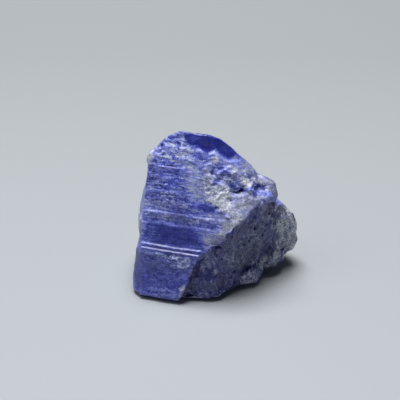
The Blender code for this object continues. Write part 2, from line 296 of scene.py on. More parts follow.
def averaged(values, ends, rounds):
    """Each point's value drawn to the average of its neighbours, some rounds over."""
    count = np.bincount(ends.ravel(), minlength=len(values))[:, None]
    flat_values = values.reshape(len(values), -1).astype(float)
    for _ in range(rounds):
        total = np.empty_like(flat_values)
        for column in range(flat_values.shape[1]):
            total[:, column] = np.bincount(ends[:, 0], flat_values[ends[:, 1], column], len(values))
            total[:, column] += np.bincount(ends[:, 1], flat_values[ends[:, 0], column], len(values))
        flat_values = 0.5 * flat_values + 0.5 * total / count
    return flat_values.reshape(values.shape)


ends = neighbours(stone.data)
print("edges of the skin:", len(ends))

# %% Wear the skin down
ROUNDS = (26, 34, 120)                            # the rounds of wear added at each of three stages
NORMAL_ROUNDS = 6                                 # enough to say which way a place looks, past its grain
FRONT_WEAR = 0.85                                 # the share of the first stage that the front takes
BACK_WEAR = 0.9                                   # the share of the second that the back takes
SHARP_FROM_X = 5.5                                # right of here the back keeps sharper corners
SHARP_SPARED = 0.3                                # and is spared this much of its wear
KEPT_LEDGE = (7.45, 0.75)                         # height and half width of the ledge that stays crisp
TABLE_FADE = (0.6, 1.6)                           # wear sets in between these heights
CREST_FADE = (20.5, 18.0)                         # and the back's stops short of the crest
PIT_WEAR = 0.9
PITS = ((5.6, 14.8, 2.3, 1.5, 0, 1.0), (8.2, 15.3, 1.9, 1.4, 0, 1.0), (4.3, 13.7, 2.4, 1.3, 0, 1.0))
# Slabs and corners, each with its middle, its reach along X, Y and Z, and how far it is worn.
SLABS = (
    ((-8.2, 7.0, 8.3), (1.2, 3.2, 2.4), 0.60), ((-8.2, 5.7, 5.9), (1.3, 1.8, 1.0), 1.0),
    ((-6.7, 9.4, 17.4), (1.2, 2.0, 1.8), 0.5), ((-2.2, 12.6, 1.2), (2.6, 2.4, 2.0), 1.0),
    ((-8.6, 6.0, 3.2), (1.6, 2.2, 1.8), 0.9), ((12.9, 9.4, 6.6), (1.2, 1.4, 1.2), 1.0),
)
BLOB_RIM = (1.1, 0.6)                             # a blob fades in between these shares of its reach


def near_blobs(points, blobs):
    """The strongest of some soft blobs, each a middle, a reach along each axis and a strength."""
    best = np.zeros(len(points))
    for middle, reach, strength in blobs:
        away = np.linalg.norm((points - middle) / reach, axis=-1)
        best = np.maximum(best, strength * ramp(away, *BLOB_RIM))
    return best


points = coordinates(stone.data)
normals = coordinates(stone.data, "vertex_normals", "vector")
facing = averaged(normals, ends, NORMAL_ROUNDS) @ TO_VIEWER
on_front = ramp(facing, -0.1, 0.2)
off_table = ramp(points[:, 2], *TABLE_FADE)
off_ledge = ramp(np.abs(points[:, 2] - KEPT_LEDGE[0]), 0.6 * KEPT_LEDGE[1], KEPT_LEDGE[1])
worn = near_blobs(points, SLABS)
worn = np.maximum(worn, PIT_WEAR * ovals(on_view(points), PITS, 0) * ramp(facing, -0.3, 0.0))
soft = averaged(points, ends, ROUNDS[0])
softer = averaged(soft, ends, ROUNDS[1])
softest = averaged(softer, ends, ROUNDS[2])
points += (soft - points) * (FRONT_WEAR * on_front * off_table * off_ledge)[:, None]
sharp_side = ramp(points[:, 0], SHARP_FROM_X, SHARP_FROM_X + 1.5)
back_aim = softer + (soft - softer) * sharp_side[:, None]
on_back = ramp(facing, -0.2, -0.6) * ramp(points[:, 2], *CREST_FADE)
back_wear = BACK_WEAR - SHARP_SPARED * sharp_side
points += (back_aim - points) * (on_back * off_table * back_wear)[:, None]
points += (softest - points) * worn[:, None]
stone.data.vertices.foreach_set("co", points.ravel())
stone.data.update()
print("points worn down most:", int((worn > 0.5).sum()))

# %% [markdown]
# ## Growth ledges
#
# The long face grew in thin layers, all level, and each layer stops at a slightly different depth. The
# eye reads this as many fine lines with a few strong ones. Here the height up the face is cut into
# layers, each layer stands out by its own amount, and that amount drifts along the layer so that the
# lines break up and rejoin. A small overhang within each layer gives the treads that catch the light.

# %% Layers and ledges
FACE_POINT = np.array((-7.93, 3.38, 7.2))
FACE_YAW = math.radians(16.5)
FACE_LEAN = math.radians(23)
FACE_OUT = np.array((-math.sin(FACE_YAW) * math.cos(FACE_LEAN),
                     -math.cos(FACE_YAW) * math.cos(FACE_LEAN), math.sin(FACE_LEAN)))
# The few ledges that show from afar: height, depth, and the left and right ends of each.
MAIN_LEDGES = (
    (7.18, 0.07, -8.0, 0.0), (7.46, 0.025, -8.0, 0.3), (9.95, 0.015, -8.0, -1.0), (10.6, 0.01, -7.0, 1.0),
    (11.33, 0.03, -8.0, 3.4), (17.05, 0.09, -5.3, -3.2), (15.75, 0.03, -6.4, -3.4),
)
LEDGE_LIP = 0.35                                  # mm over which the skin swells out to a ledge's lip
LAYER_APART = 3.7                                 # how unlike each other two layers in turn are
TREAD_FROM = 0.72                                 # the share of a layer's height where it turns into a tread
OVERHANG = 0.5                                    # how far a layer leans out over the one below


def layers_of_growth(points, thickness, drift, warp, salt):
    """How far each thin level layer stands out, from -1 to 1."""
    height = points[:, 2] / thickness + warp * soft_noise(points / 1.7, salt)
    layer = np.floor(height)
    within = height - layer
    along = np.stack([points[:, 0] / drift, points[:, 1] / drift, layer * LAYER_APART], -1)
    here = soft_noise(along, salt + 1)
    above = soft_noise(along + (0, 0, LAYER_APART), salt + 1)
    passing = ramp(within, TREAD_FROM, 1.0)
    return here * (1 - passing) + above * passing + OVERHANG * (within - 0.5) * (1 - passing)


def ledge_lips(points):
    """The main ledges: each swells out upwards to a sharp lip and steps back above it."""
    out = np.zeros(len(points))
    level = points[:, 2] + 0.05 * soft_noise(points / 1.4, 15)
    for top, depth, left, right in MAIN_LEDGES:
        run = ramp(points[:, 0], left - 0.3, left + 0.3) * ramp(points[:, 0], right + 0.6, right - 0.6)
        out += depth * run * np.where(level < top, ramp(level, top - LEDGE_LIP, top), 0)
    return out


print("main ledges:", len(MAIN_LEDGES))

# %% [markdown]
# ## Which part of the skin is which
#
# Every kind of surface has its place. The long face is the skin that lies close to one leaning plane and
# looks the same way as it. The dull break is all that lies right of the ridge, the window has its
# outline, and the sugary slope has its ovals. Each becomes one number a point, from 0 to 1, so that one
# kind can fade into the next instead of stopping at a line.

# %% Find the zones to carve
FOOT_TOP = 6.9                                    # the foot block ends at this height
FACE_BOTTOM = 7.4                                 # and the long face begins in full at this one
# The slope between the ridge and the window, whitish and sugary.
SUGARY = (
    (2.6, 14.2, 2.6, 2.3, -30, 1.0), (5.4, 15.4, 3.2, 1.9, -25, 1.0), (2.2, 17.0, 1.6, 2.0, 0, 0.9),
    (4.6, 17.2, 2.2, 1.3, -30, 0.7), (9.2, 15.2, 1.4, 1.2, 0, 0.8), (1.0, 15.4, 1.4, 1.6, 0, 0.7),
    (4.6, 12.2, 2.0, 1.6, 40, 0.5),
)

points = coordinates(stone.data)
normals = coordinates(stone.data, "vertex_normals", "vector")
flat = on_view(points)
front = ramp(normals @ TO_VIEWER, -0.05, 0.3)
warp = layered_noise(points / 1.3, 3)
right_of_ridge = beside_line(flat, RIDGE) + 0.25 * warp
face_gap = np.abs((points - FACE_POINT) @ FACE_OUT)
on_long = ramp(face_gap, 1.1, 0.45) * ramp(normals @ FACE_OUT, 0.3, 0.75)
on_long *= ramp(points[:, 2], FOOT_TOP, FACE_BOTTOM)
on_long *= ramp(right_of_ridge, 0.1, -0.5)
on_foot = front * ramp(points[:, 2], 7.1, 6.6) * ramp(right_of_ridge, 0.0, -0.4)
in_window = front * ramp(inside_outline(flat, WINDOW) + 0.12 * warp, -0.1, 0.25)
sugary = front * ovals(flat, SUGARY, 0.3 * warp) * ramp(right_of_ridge, 0.15, -0.3) * (1 - in_window)
broken = front * ramp(right_of_ridge, -0.1, 0.2) * (1 - in_window)
behind = ramp(averaged(normals, ends, NORMAL_ROUNDS) @ TO_VIEWER, -0.1, -0.5)
print("long face points:", int((on_long > 0.5).sum()), "window points:", int((in_window > 0.5).sum()))

# %% Carve the long face and the foot
# Chips under the ledges of the foot.
CHIPS = ((-2.9, 5.4, 1.9, 0.9, -9, 1.0), (-6.0, 6.2, 1.9, 0.5, -9, 0.8), (-2.0, 1.0, 0.8, 1.2, -20, 0.5))
CHIP_DEPTH = 0.34
UPPER_PART = (10.9, 12.6)                         # the long face gets rougher between these heights
TOP_LEFT = (16.6, 17.8)                           # and once more between these

upper = ramp(points[:, 2], *UPPER_PART)
top_left = ramp(points[:, 2], *TOP_LEFT)
ledge_share = on_long * (1 - 0.8 * sugary)
ledge_out = layers_of_growth(points, 0.45, 1.1, 0.6, 20) * (0.007 + 0.005 * upper + 0.006 * top_left)
ledge_out += layers_of_growth(points, 0.26, 0.6, 0.9, 24) * (0.005 + 0.008 * upper + 0.010 * top_left)
bent = points + 0.35 * pushes(points, 1.2, 31)
ledge_out += 0.034 * upper * layered_noise(bent / (0.9, 0.9, 0.26), 34)
ledge_out += (0.03 + 0.05 * upper) * grains(points, 0.30, (1.3, 1.3, 0.6), 1.3, 37)
foot_out = 0.016 * layers_of_growth(points, 0.34, 2.6, 0.3, 28)
foot_out += ovals(flat, CHIPS, 0.4 * warp) * CHIP_DEPTH * scoops(points, 0.55, (1.6, 1.4, 0.5), 1.4, 38)
relief = ledge_share * (ledge_out + ledge_lips(points)) + on_foot * foot_out
print("deepest relief of the long face and the foot, mm:", round(float(relief.min()), 2))

# %% [markdown]
# ## Sugar, hackle and glass
#
# Three sorts of break show on this stone. The sugary slope is a crust of small grains, so it gets
# shallow scoops about two millimetres across with two sizes of grains on top. The dull right side broke
# in splinters that run up and down, so the same facets are stretched upwards. The window broke like
# glass: its skin is left almost smooth, with a few shallow rings round the point where it was struck. The
# sides and the back have some of each: stepped growth on one half and dented breaks on the other.

# %% What the breaks are made of
# Each layer: its form, depth, size in mm, stretch along X, Y and Z, tilt, and salt.
SUGAR_LAYERS = (
    (scoops, 0.09, 1.9, (1.3, 1, 0.8), 1.2, 45),
    (grains, 0.11, 0.8, (1, 1, 0.9), 1.3, 40),
    (grains, 0.21, 0.30, (1, 1, 1), 1.5, 50),
)
DENT_LAYERS = (
    (scoops, 0.20, 2.4, (1.2, 1, 0.9), 1.8, 80),
    (scoops, 0.14, 0.9, (1.1, 1, 0.8), 1.8, 90),
    (grains, 0.16, 0.38, (1, 1, 1), 1.8, 95),
)
CRUMB_LAYERS = (
    (grains, 0.40, 0.55, (1, 1, 1), 1.3, 97),
    (grains, 0.30, 0.28, (1, 1, 1), 1.3, 98),
)


def layered(points, layers):
    """The layers laid on top of each other, in mm."""
    return sum(depth * form(points, size, stretch, tilt, salt)
               for form, depth, size, stretch, tilt, salt in layers)


def grown_part(points):
    """1 where the hidden sides grew in steps, 0 where they broke."""
    return ramp(layered_noise(points / 4.5, 120), 0.3, -0.2)


print("layers of sugar, dents and crumbs:", len(SUGAR_LAYERS), len(DENT_LAYERS), len(CRUMB_LAYERS))

# %% Hackle, steps, dents and rings
STRUCK_AT = np.array((3.4, 6.0, 22.6))
# The crumbly rims at the far right and along the top right.
CRUMBLY = (
    (12.2, 9.0, 1.4, 3.4, 8, 0.15), (9.8, 5.0, 2.0, 1.0, 35, 0.6), (6.4, 17.6, 2.4, 0.8, -40, 0.25),
    (7.0, 3.0, 1.4, 1.4, 0, 0.4),
)
# The right lump swells a little at its top and is undercut at its foot.
SWOLLEN = ((12.4, 10.6, 1.4, 1.6, 0, 0.45),)
UNDERCUT = ((12.2, 6.6, 1.0, 0.6, 30, 0.30),)
SPLINTER_LEAN = math.radians(26)                  # the splinters of the dull break lean to the right
LUMP_FROM_X, LUMP_TO_X = 10.5, 12.0               # the far right lump is calmer, from here to here
LUMP_CALM = 0.7
RING_DEPTH = 0.012
SWELL_DEPTH = 0.05                                # a slight unevenness of the whole stone

cosine, sine = math.cos(SPLINTER_LEAN), math.sin(SPLINTER_LEAN)
slanting = points @ np.array(((cosine, 0, sine), (0, 1, 0), (-sine, 0, cosine)))
slanting += 0.45 * pushes(points, 1.5, 131)
hackle = 0.26 * scoops(points, 2.6, (0.7, 0.8, 1.3), 1.2, 60)
patchy = ramp(layered_noise(points / 2.2, 140), -0.3, 0.5)
hackle += 0.22 * grains(slanting, 1.2, (0.6, 0.9, 1.7), 1.3, 70) * patchy
hackle += 0.25 * grains(slanting, 0.40, (0.7, 1, 1.4), 1.4, 75) * (1.2 - 0.6 * patchy)
hackle += 0.07 * layered_noise(points / (0.6, 0.6, 0.9), 143)
hackle *= 1 - LUMP_CALM * ramp(flat[:, 0], LUMP_FROM_X, LUMP_TO_X)
steps = 0.06 * layers_of_growth(points, 0.60, 1.8, 0.5, 150)
steps += 0.03 * layers_of_growth(points, 0.24, 0.8, 0.8, 153)
steps += 0.08 * scoops(points, 3.4, (1.4, 1, 0.8), 1.6, 80) + 0.03 * layered_noise(points / 0.5, 156)
dents = layered(points, DENT_LAYERS)
reach = np.linalg.norm(points - STRUCK_AT, axis=-1)
rings = RING_DEPTH * np.sin(reach * 6.0 + 2.0 * warp)
print("deepest hackle, steps and dents, mm:", [round(float(v.min()), 2) for v in (hackle, steps, dents)])

# %% Add each break in its own zone
grown = grown_part(points)
relief += sugary * layered(points, SUGAR_LAYERS)
crumbly = ovals(flat, CRUMBLY, 0.3 * warp) * (1 - on_long)
relief += front * (ovals(flat, SWOLLEN, 0.2 * warp) - ovals(flat, UNDERCUT, 0.2 * warp))
relief += broken * hackle + crumbly * layered(points, CRUMB_LAYERS)
left_slivers = ramp(points[:, 0], -7.9, -8.2) * ramp(points[:, 2], 5.6, 6.4)
relief += behind * (1 - on_long) * (1 - left_slivers) * (grown * steps + (1 - grown) * dents)
relief += in_window * rings
relief += (1 - in_window) * (1 - 0.75 * on_long) * SWELL_DEPTH * layered_noise(points / 0.9, 100)
print("relief so far, mm:", round(float(relief.min()), 2), "to", round(float(relief.max()), 2))

# %% [markdown]
# ## Chipped edges
#
# Sharp edges of a soft, brittle crystal never stay whole. To find them, each point is compared with
# the average of the points around it, over and over: where the average lies under the skin, the skin is
# an edge. Those places are pushed in by an uneven amount.

# %% Find the edges and chip them
EDGE_ROUNDS = 12
EDGE_SHARPNESS = (0.015, 0.12)                    # mm above the surroundings: from no chip to a full one
EDGE_LOSS = 0.20                                  # mm taken off by a full chip


def edge_height(mesh, points, normals, rounds):
    """How far the skin stands above its surroundings, in mm; below 0 in hollows."""
    return ((points - averaged(points, neighbours(mesh), rounds)) * normals).sum(-1)


proud = edge_height(stone.data, points, normals, EDGE_ROUNDS)
chip = ramp(proud, *EDGE_SHARPNESS) * ramp(layered_noise(points / 0.8, 110), -0.2, 0.8)
relief -= EDGE_LOSS * chip * (1 - 0.9 * in_window)
print("relief from", round(relief.min(), 2), "to", round(relief.max(), 2), "mm")

# %% [markdown]
# ## Put the relief on, and keep the base flat
#
# The relief moves each point along a slightly smoothed normal, so neighbours don't cross at corners.
# Near the table the movement fades to nothing, so the side on which the stone lies stays as flat as the
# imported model's. Only the rim round it is eased up and a little outwards over the lowest few
# millimetres, which leaves the dark gap that a worn stone has under its edges. Then Blender's Decimate
# takes triangles from the places that stayed plain, most of all at the back.

# %% Move the skin
FADE_HEIGHT = 0.35                                # relief fades out below this height, mm
REST_AT = (-2.4, 6.6)                             # middle of the patch on which the stone lies
REST_HALF = (5.0, 5.2)
RIM_LIFT = 0.55                                   # how far the rim round that patch clears the table
RIM_HEIGHT = 2.5                                  # the walls are eased up below this height
RIM_SPREAD = 1.35                                 # the walls lean out by this much at their foot
SPREAD_HEIGHT = 5.0                               # and do so below this height
SPREAD_ROUNDS = 30                                # smoothing that keeps the lean from following chips
LEVEL_SPARED = 0.2                                # keeps skin that is nearly level from leaning much
LEAN_SHARES = (0.15, 1, 0)                        # the lean is nearly all towards the front
SMOOTH_ROUNDS = 3

smooth_normals = averaged(normals, ends, SMOOTH_ROUNDS)
smooth_normals /= np.linalg.norm(smooth_normals, axis=-1)[:, None]
fade = ramp(points[:, 2], 0.0, FADE_HEIGHT)
carved = points + smooth_normals * (relief * fade)[:, None]
from_rest = np.hypot(*((carved[:, :2] - REST_AT) / REST_HALF).T)
rim = ramp(from_rest, 0.75, 1.25)
outwards = averaged(normals, ends, SPREAD_ROUNDS) * (1, 1, 0)
outwards /= np.linalg.norm(outwards, axis=-1)[:, None] + LEVEL_SPARED
outwards = np.minimum(outwards, 0) * LEAN_SHARES              # only the front and the left lean out
carved += outwards * (RIM_SPREAD * rim * ramp(carved[:, 2], SPREAD_HEIGHT, 0.0))[:, None]
carved[:, 2] += RIM_LIFT * rim * np.clip(1 - carved[:, 2] / RIM_HEIGHT, 0, 1) ** 2
carved[:, 2] = np.maximum(carved[:, 2], FOOT_TO_ORIGIN.z)
stone.data.vertices.foreach_set("co", carved.ravel())
stone.data.update()
print("most moved, mm:", round(float(np.linalg.norm(carved - points, axis=-1).max()), 2))

# %% Take triangles from the places that stayed plain
MOST_TRIANGLES = 188000
LEAST_TAKEN = 0.35                                # how readily the front gives up triangles; the back's is 1

plain = stone.vertex_groups.new(name="plain")
levels = np.round(LEAST_TAKEN + (1 - LEAST_TAKEN) * behind, 1)
for level in np.unique(levels):
    plain.add(np.flatnonzero(levels == level).tolist(), float(level), "REPLACE")
decimate = stone.modifiers.new("fewer", "DECIMATE")
decimate.ratio = MOST_TRIANGLES / (2 * len(stone.data.polygons))
decimate.use_collapse_triangulate = True
decimate.vertex_group = plain.name
decimate.vertex_group_factor = 1.0
apply_modifiers(stone)
stone.vertex_groups.clear()
print("triangles:", len(stone.data.polygons))

# %% [markdown]
# ## Masks for the finish
#
# The decimated mesh has new points, so its zones are worked out afresh, this time for colour. Each mask
# is one number a point, stored as a named attribute that the material reads. Besides the zones there
# are two fine ones: `proud` and `hollow` say how far a point stands above or below its close
# surroundings. Tiny edges are whitened, partly as frost and partly as a painted highlight, and the pits
# between them are painted darker, as painted shade.

# %% Work out the masks
MEAN_ROUNDS = 8                                   # enough to say which way a place looks, past its chips

points = coordinates(stone.data)
normals = coordinates(stone.data, "vertex_normals", "vector")
flat = on_view(points)
mean_normals = averaged(normals, neighbours(stone.data), MEAN_ROUNDS)
front = ramp(normals @ TO_VIEWER, -0.25, 0.15)
seen = ramp(mean_normals @ TO_VIEWER, -0.5, 0.1)  # zones reach a little way round the corners
warp = layered_noise(points / 1.1, 3)
fine_warp = layered_noise(points / 0.45, 5)
right_of_ridge = beside_line(flat, RIDGE) + 0.2 * warp

masks = {}


def add_mask(name, values):
    """Store one number a point under this name, kept between 0 and 1."""
    masks[name] = np.clip(values, 0, 1)
    attribute = stone.data.attributes.new(name, "FLOAT", "POINT")
    attribute.data.foreach_set("value", masks[name].astype(np.float32))


window_rim = 0.15 + 0.6 * ramp(flat[:, 0], 2.0, 6.0)        # the window fades out to the right
in_window = inside_outline(flat, WINDOW) + (0.1 + 0.5 * window_rim) * fine_warp
over_crest = ramp(normals @ TO_VIEWER, -0.6, -0.2)
add_mask("window", over_crest * ramp(in_window / window_rim, -0.3, 1.0))
ridge_rim = 0.15 + 0.9 * ramp(flat[:, 0], 4.5, 8.0)         # so does the ridge, higher up
past_ridge = right_of_ridge + 0.5 * ridge_rim * fine_warp
add_mask("broken", seen * ramp(past_ridge / ridge_rim, -0.7, 1.0) * (1 - masks["window"]))
lit_side = (1 - masks["broken"]) * (1 - masks["window"])
print("share of the skin on the dull break:", round(float(masks["broken"].mean()), 3))

# %% [markdown]
# ## Painting the milkiness
#
# The stone has one colour, but it is clear in some places and milky in others, so its look is painted
# with two numbers. `milk` runs from clear deep blue to white. `sugar` says how grey and sugary the milk
# is, against a clean lavender. Both are laid on like paint: each soft patch pulls what lies under it
# towards its own values, and noise wobbles its rim.

# %% The patches of milk and sugar
# Each patch: across, up, half width, half height, turn in degrees, milk, sugar, strength.
LONG_FACE = (
    (-3.5, 20.3, 3.8, 2.3, 15, 0.66, 0.15, 1.0),      # the milky top left
    (-2.3, 22.5, 2.6, 0.6, -5, 0.34, 0.40, 0.9),
    (-3.9, 21.8, 0.5, 0.8, 10, 0.35, 0.10, 0.7),
    (-5.0, 18.6, 1.7, 0.8, -5, 0.44, 0.10, 0.7),
    # a hazy patch that also carries the glints there: partly haze, partly painted highlight
    (-1.6, 18.9, 2.2, 1.2, -5, 0.66, 0.12, 0.9),
    (-4.0, 16.9, 2.3, 1.8, -5, 0.44, 0.05, 0.9),      # the clear striped middle
    (-3.2, 15.9, 1.1, 0.7, 0, 0.30, 0.00, 0.8),
    (-0.9, 16.2, 1.3, 2.6, 5, 0.67, 0.20, 1.0),       # a milky band down its right
    (-6.9, 15.8, 0.6, 4.5, 0, 0.48, 0.35, 0.7),
    (-4.0, 14.3, 3.0, 0.9, -8, 0.40, 0.30, 0.9),
    (-4.5, 13.2, 3.6, 0.5, -8, 0.44, 0.60, 0.8),
    (0.7, 12.5, 2.4, 0.55, -10, 0.16, 0.10, 1.0),     # the clear streak under the sugary slope
    (-3.0, 12.2, 3.0, 0.5, -8, 0.32, 0.50, 0.7),
    (-2.7, 10.9, 4.8, 0.6, -9, 0.26, 0.80, 0.9),
    (2.4, 11.3, 1.9, 0.9, -5, 0.54, 0.55, 0.9),
    (-3.4, 8.7, 5.2, 1.9, -9, 0.05, 0.35, 1.0),       # the deep lower band
    (-6.4, 9.4, 0.9, 0.9, 0, 0.22, 0.50, 0.6),
    (0.7, 8.9, 1.0, 1.6, 20, 0.42, 0.60, 0.8),
    (2.0, 8.2, 1.8, 1.2, 45, 0.56, 0.90, 0.9),        # the pale band along the ridge
    (4.5, 10.2, 2.6, 1.3, 42, 0.80, 1.00, 1.0),
    (7.2, 12.9, 2.0, 1.0, 42, 0.66, 0.95, 0.9),
)
SUGARY_SLOPE = (
    (2.6, 14.9, 2.8, 2.2, -20, 0.85, 0.85, 1.0),
    (0.3, 14.9, 1.6, 1.5, 10, 0.68, 0.60, 0.8),
    (2.6, 13.5, 2.0, 1.1, -35, 0.98, 0.85, 1.0),      # the whitest spot
    (1.5, 14.7, 0.8, 0.7, -20, 0.86, 0.75, 0.8),
    (4.9, 12.6, 1.8, 1.3, 40, 0.84, 0.90, 0.9),
    (2.0, 18.9, 0.6, 0.8, 0, 0.82, 0.95, 1.0),        # a white chip under the window
    (3.1, 17.5, 1.2, 0.8, -20, 0.40, 0.30, 0.8),
    (1.0, 16.9, 0.7, 1.7, -20, 0.72, 0.70, 0.8),
    (2.7, 16.2, 0.9, 0.9, 0, 0.46, 0.55, 0.8),
    (4.6, 18.0, 1.9, 0.9, -30, 0.60, 0.60, 0.9),
    (5.2, 17.1, 2.0, 1.0, -30, 0.70, 0.70, 0.9),
    (6.3, 15.9, 0.9, 0.7, -15, 1.00, 0.85, 1.0),
    (7.8, 16.1, 1.1, 0.5, -25, 0.90, 0.85, 0.9),
    (6.8, 17.6, 2.4, 0.6, -40, 0.58, 0.90, 0.9),
    (6.5, 14.2, 1.8, 0.7, -10, 0.66, 0.80, 0.8),
    (9.4, 15.4, 1.5, 1.5, 0, 0.54, 1.00, 1.0),        # the shoulder
    (9.0, 14.4, 0.8, 0.5, 0, 0.42, 0.10, 0.7),
    (4.3, 15.4, 0.7, 0.40, -10, 0.02, 0.30, 1.0),     # dark cracks
    (5.5, 14.9, 1.0, 0.28, -12, 0.05, 0.40, 1.0),
    (8.2, 15.1, 0.8, 0.30, 10, 0.02, 0.30, 1.0),
    (7.3, 14.4, 0.4, 0.50, -20, 0.10, 0.40, 0.9),
    (2.2, 16.0, 0.7, 0.5, 20, 0.22, 0.40, 0.8),       # violet specks
    (1.6, 17.4, 0.4, 0.5, 0, 0.24, 0.30, 0.7),
)
FOOT = (
    (-4.8, 3.2, 7.0, 4.6, 0, 0.24, 0.45, 1.0),
    (-8.5, 4.6, 0.6, 3.4, 5, 0.08, 0.45, 0.8),
    (-3.8, 5.7, 3.8, 1.1, -9, 0.32, 0.40, 0.9),
    (-4.1, 6.75, 4.4, 0.70, -10, 0.05, 0.55, 0.9),    # clear round the two strong ledges
    (-2.8, 5.7, 1.9, 0.5, -9, 0.72, 0.45, 0.9),       # chips under the ledges, in rows
    (-6.0, 6.4, 1.9, 0.35, -9, 0.52, 0.40, 0.8),
    (-2.6, 4.8, 1.2, 0.45, -9, 0.66, 0.40, 0.9),
    (-4.6, 1.1, 3.8, 0.8, -8, 0.35, 0.45, 0.8),
    (-2.0, 1.1, 1.0, 1.2, -20, 0.72, 0.90, 1.0),
)
# On the dull break the same two numbers run from navy to pale grey, and from violet to grey.
DULL_BREAK = (
    (6.5, 8.2, 2.6, 2.6, 30, 0.34, 0.50, 1.0),
    (3.8, 7.8, 5.0, 1.3, 42, 0.06, 0.10, 1.0),        # dark along the ridge
    (7.6, 11.2, 1.6, 1.2, 40, 0.24, 0.20, 0.9),
    (4.9, 5.6, 1.5, 1.6, 0, 0.52, 0.60, 0.8),
    (11.5, 10.6, 1.9, 3.0, 10, 0.82, 1.00, 1.0),      # pale at the far right
    (12.4, 8.0, 1.1, 1.8, 10, 0.80, 1.00, 1.0),
    (10.4, 7.4, 1.2, 1.0, 30, 0.62, 0.80, 0.8),
    (9.4, 5.2, 2.0, 0.9, 35, 0.84, 0.80, 0.9),
    (1.6, 2.4, 4.2, 2.2, 5, 0.12, 0.05, 0.9),
    (6.7, 3.0, 1.3, 1.3, 0, 0.72, 0.10, 0.9),
    (1.3, 5.0, 1.5, 0.5, 10, 0.44, 0.20, 0.8),
    (3.9, 7.4, 1.0, 1.6, 30, 0.28, 0.70, 0.8),        # a paler facet in the middle
    (8.9, 9.4, 0.5, 1.8, -26, 0.06, 0.20, 0.8),       # dark grooves
    (6.9, 6.2, 0.5, 1.5, -26, 0.08, 0.20, 0.8),
    (9.6, 12.0, 2.0, 1.2, -20, 0.30, 0.10, 0.7),      # violet under the shoulder
)
print("patches:", [len(patches) for patches in (LONG_FACE, SUGARY_SLOPE, FOOT, DULL_BREAK)])

# %% Paint milk and sugar
# Painted shade on two stretches of the top edge, where the skin turns up and away: deep blue in place
# of the light that the edge catches.
SHADED_TOP_EDGES = ((-3.9, 22.6, 2.4, 1.8, 15, 1.0), (8.6, 16.5, 2.0, 1.2, -10, 1.0))
SHADED_EDGE_TONE = (0.14, 0.9)                      # their milk and sugar
PLAIN_TONE = (0.45, 0.4)                          # and those of the skin that no patch covers
# Crests are painted lighter than the hollows between them, most of all on the breaks: painted highlight
# and shade along the relief, and on sugary skin partly frost as well.
CREST_ROUNDS = 6
CREST_HEIGHT = 0.06                               # mm above the surroundings for the full effect
CREST_SHADING_ON_DULL = 0.30
CREST_SHADING_ON_SUGAR = 0.14


def painted(flat, patches, under, wobble):
    """Two numbers a point, drawn by each patch in turn towards its own."""
    tone = np.array(under, float)
    for across, up, wide, high, turn, milk, sugar, strength in patches:
        share = ovals(flat, ((across, up, wide, high, turn, strength),), wobble)[:, None]
        tone += (np.array((milk, sugar)) - tone) * share
    return tone


wobble = 0.30 * warp + 0.25 * fine_warp
plain_tone = np.tile(PLAIN_TONE, (len(points), 1))
lit_tone = painted(flat, LONG_FACE + SUGARY_SLOPE + FOOT, plain_tone, wobble)
dull_tone = painted(flat, DULL_BREAK, plain_tone * (0.7, 0.6), wobble)
grown = grown_part(points) * ramp(mean_normals[:, 0], 0.6, 0.2)
back_milk = 0.36 + 0.30 * layered_noise(points / (3.0, 3.0, 1.6), 121) + 0.10 * layered_noise(points, 124)
back_tone = np.stack([back_milk, 0.6 + 0.4 * soft_noise(points / 4.0, 127)], -1)
tone = lit_tone + (dull_tone - lit_tone) * masks["broken"][:, None]
# Painted highlight on crests and painted shade in the hollows between them.
crest = np.clip(edge_height(stone.data, points, normals, CREST_ROUNDS) / CREST_HEIGHT, -1, 1)
tone[:, 0] += crest * (CREST_SHADING_ON_DULL * masks["broken"] + CREST_SHADING_ON_SUGAR * lit_side * tone[:, 1])
turning = ramp(mean_normals @ TO_VIEWER, 0.75, 0.35) * ramp(mean_normals[:, 2], 0.2, 0.5)
# Painted shade on the top edges that face up and away.
painted_edge_shade = 0.75 * turning * ovals(flat, SHADED_TOP_EDGES, 0) * (1 - masks["window"])
tone += (np.array(SHADED_EDGE_TONE) - tone) * painted_edge_shade[:, None]
tone += (back_tone - tone) * (1 - seen)[:, None]
add_mask("milk", tone[:, 0])
add_mask("sugar", tone[:, 1])
add_mask("dull", np.maximum(masks["broken"], 0.8 * (1 - seen) * (1 - grown)))
print("average milk and sugar:", [round(float(masks[name].mean()), 3) for name in ("milk", "sugar")])

# %% Find the grainy, crusted and rippled places
# The slope's fine grain shows wherever the skin is sugary, and the two slivers on the left edge wear a
# pale greenish crust.
GRAINY = (
    (2.6, 14.6, 3.4, 3.0, -20, 1.0), (6.0, 15.6, 4.4, 2.4, -25, 0.9), (4.4, 11.4, 2.4, 1.6, 40, 0.7),
    (1.8, 18.4, 1.2, 1.4, 0, 1.0), (-4.4, 13.2, 4.0, 0.6, -8, 0.8), (-3.4, 5.7, 2.8, 0.9, -9, 1.0),
    (-2.0, 1.2, 1.0, 1.2, -20, 0.6), (-2.4, 19.4, 2.6, 1.2, -10, 0.4), (-3.0, 10.9, 4.8, 0.6, -9, 0.4),
)
add_mask("grainy", front * np.maximum(lit_side * ovals(flat, GRAINY, wobble), 0.45 * masks["broken"]))
CRUST = ((-6.9, 19.4, 0.6, 0.9, 0, 1.0), (-8.5, 10.9, 0.7, 2.4, 0, 1.0), (-8.9, 8.0, 0.6, 1.4, 0, 0.6))
behind_face = (FACE_POINT - points) @ FACE_OUT    # how deep behind the long face's plane, mm
add_mask("crust", ovals(flat, CRUST, 0.5 * wobble) * front * ramp(behind_face + 0.9 * fine_warp, 3.0, 1.2))

